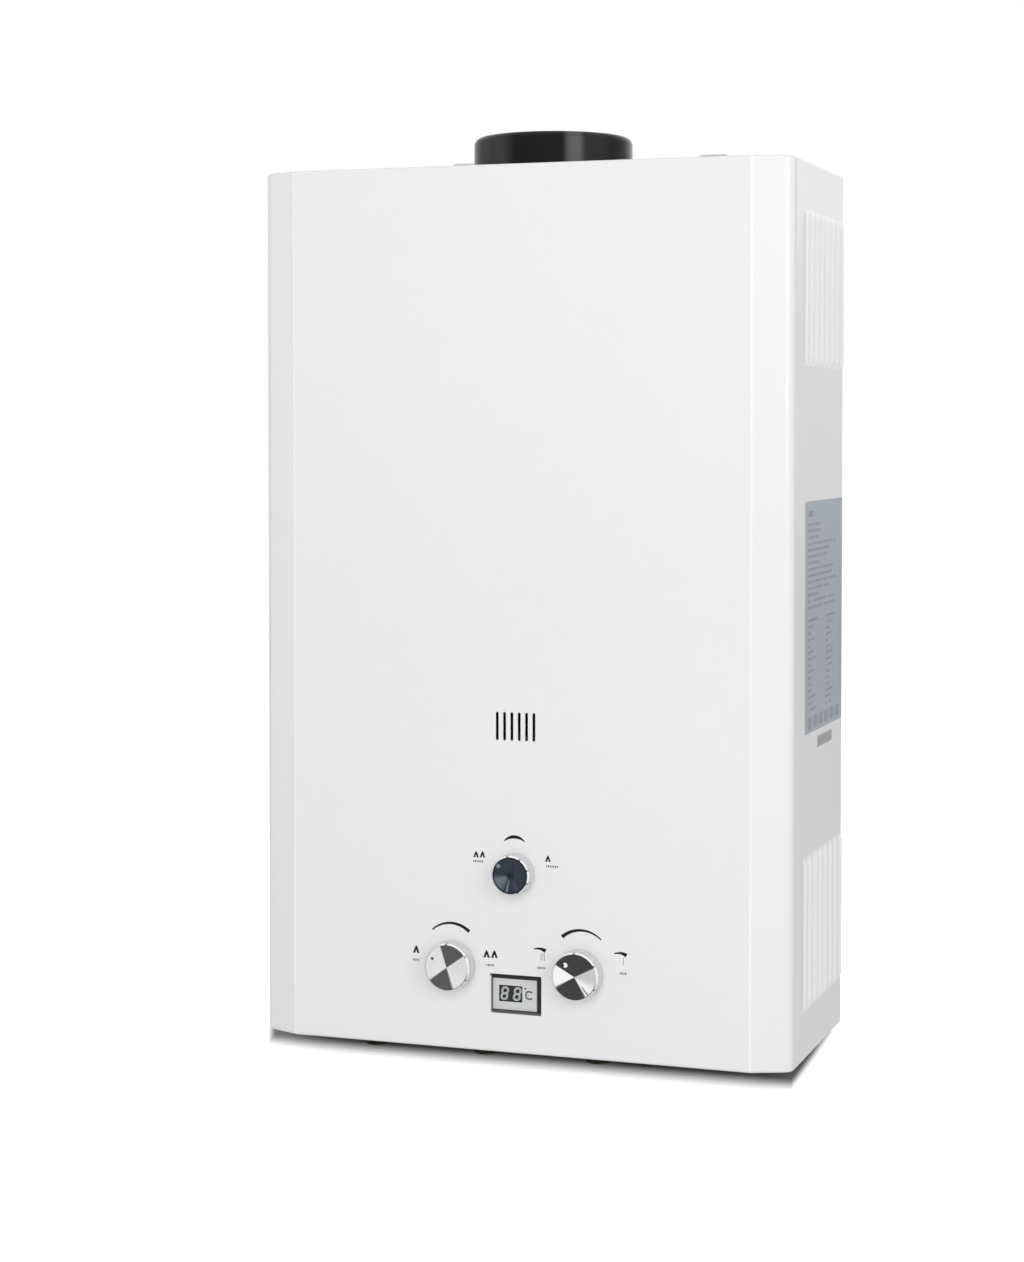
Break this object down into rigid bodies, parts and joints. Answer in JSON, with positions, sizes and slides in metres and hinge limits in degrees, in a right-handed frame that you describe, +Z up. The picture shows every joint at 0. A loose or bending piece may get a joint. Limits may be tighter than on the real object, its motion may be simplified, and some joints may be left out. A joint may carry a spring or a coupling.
{
  "type": "outdoor tankless gas water heater",
  "caption": "Wall-hung outdoor tankless gas water heater: white pressed-steel case with side louvres, black flue collar, turning knobs, display window and pipe connections below.",
  "frame": {"origin": "centre of the four wall holes, on the back face that lies on the wall, at mid width and mid height of the case", "axes": "+X to the right as the user faces the front, +Y into the wall, so the front faces -Y, +Z up"},
  "size_m": [0.4436, 0.2018, 0.7501],
  "materials": {
    "white_enamel": "gloss baked white enamel on steel sheet",
    "galvanised": "zinc coated steel sheet",
    "stainless": "plain stainless sheet",
    "zinc_steel": "bright zinc plate",
    "contact_steel": "nickel plated spring steel",
    "black_enamel": "gloss black stove enamel",
    "copper": "drawn copper sheet and tube",
    "brass": "turned and cast brass",
    "cast_aluminium": "die cast aluminium",
    "spun_aluminium": "spun face with fine turned lines",
    "dark_chrome": "dark smoked chrome disc",
    "knob_plastic": "pale grey moulded plastic",
    "black_plastic": "black moulded plastic",
    "grey_plastic": "grey moulded plastic",
    "display_lens": "silver grey lens over the glass block",
    "circuit_board": "green laminate",
    "rubber": "moulded rubber",
    "silicone_lead": "silicone covered lead",
    "ceramic": "glazed insulator",
    "cell_wrap": "plain shrink sleeve",
    "side_film": "blue grey adhesive film"
  },
  "bodies": {
    "case": {"front_cover": "white_enamel", "back_plate": "galvanised", "base_plate": "galvanised", "case_screws": "zinc_steel", "flue_collar": "black_enamel", "draft_hood": "galvanised", "heat_exchanger": "copper", "combustion_chamber": "copper", "water_coil": "copper", "hot_pipe": "copper", "burner_frame": "stainless", "burner_blades": "stainless", "gas_manifold": "cast_aluminium", "gas_nozzles": "brass", "season_valve": "cast_aluminium", "gas_valve": "cast_aluminium", "gas_tube": "copper", "water_valve": "brass", "diaphragm": "rubber", "valve_cover": "brass", "valve_bolts": "zinc_steel", "flow_switch": "black_plastic", "gas_solenoid": "zinc_steel", "hot_outlet": "brass", "gas_inlet": "brass", "cold_inlet": "brass", "inlet_filter": "stainless", "pipe_grommets": "rubber", "union_nuts": "brass", "battery_box": "black_plastic", "battery_contacts": "contact_steel", "battery_cells": "cell_wrap", "controller_box": "grey_plastic", "controller_lid": "grey_plastic", "controller_board": "circuit_board", "spark_electrode": "ceramic", "inner_leads": "silicone_lead", "display_frame": "black_plastic", "display_lens": "display_lens", "display_board": "circuit_board", "heat_sensors": "black_plastic", "side_brackets": "galvanised", "valve_bracket": "galvanised", "side_film": "side_film"},
    "gas_control": {"gas_knob": "knob_plastic", "gas_knob_face": "spun_aluminium", "gas_spindle": "brass"},
    "water_control": {"water_knob": "knob_plastic", "water_knob_face": "spun_aluminium", "water_spindle": "brass"},
    "season_control": {"season_knob": "knob_plastic", "season_knob_face": "dark_chrome", "season_spindle": "brass"},
    "flow_rod": {"push_rod": "brass"},
    "flow_lever": {"switch_lever": "stainless"},
    "plunger": {"solenoid_plunger": "stainless"},
    "battery_hatch": {"battery_door": "black_plastic", "door_contact": "contact_steel"},
    "relief_turncap": {"relief_cap": "black_plastic"}
  },
  "joints": [
    {"name": "gas_turn", "type": "hinge", "parent": "case", "child": "gas_control", "pos_m": [-0.053, -0.188, -0.283], "axis": [0, 1, 0], "range_deg": [-11, 136]},
    {"name": "water_turn", "type": "hinge", "parent": "case", "child": "water_control", "pos_m": [0.053, -0.188, -0.283], "axis": [0, 1, 0], "range_deg": [-29, 106]},
    {"name": "season_turn", "type": "hinge", "parent": "case", "child": "season_control", "pos_m": [0, -0.188, -0.207], "axis": [0, 1, 0], "range_deg": [-17, 116]},
    {"name": "rod_slide", "type": "slide", "parent": "case", "child": "flow_rod", "axis": [-1, 0, 0], "range_m": [0, 0.004], "stiffness_N_per_m": 200},
    {"name": "lever_tilt", "type": "hinge", "parent": "case", "child": "flow_lever", "pos_m": [-0.006, -0.11, -0.256], "axis": [0, 1, 0], "range_deg": [0, 12]},
    {"name": "plunger_slide", "type": "slide", "parent": "case", "child": "plunger", "axis": [-1, 0, 0], "range_m": [0, 0.003], "stiffness_N_per_m": 120},
    {"name": "battery_hinge", "type": "hinge", "parent": "case", "child": "battery_hatch", "pos_m": [0.16, -0.081, -0.3501], "axis": [1, 0, 0], "range_deg": [0, 100]},
    {"name": "relief_turn", "type": "hinge", "parent": "case", "child": "relief_turncap", "pos_m": [0.08, -0.11, -0.362], "axis": [0, 0, 1], "range_deg": [0, 90]}
  ],
  "couplings": [
    {"joint": "lever_tilt", "follows": "rod_slide", "rad_per_m": 50}
  ]
}
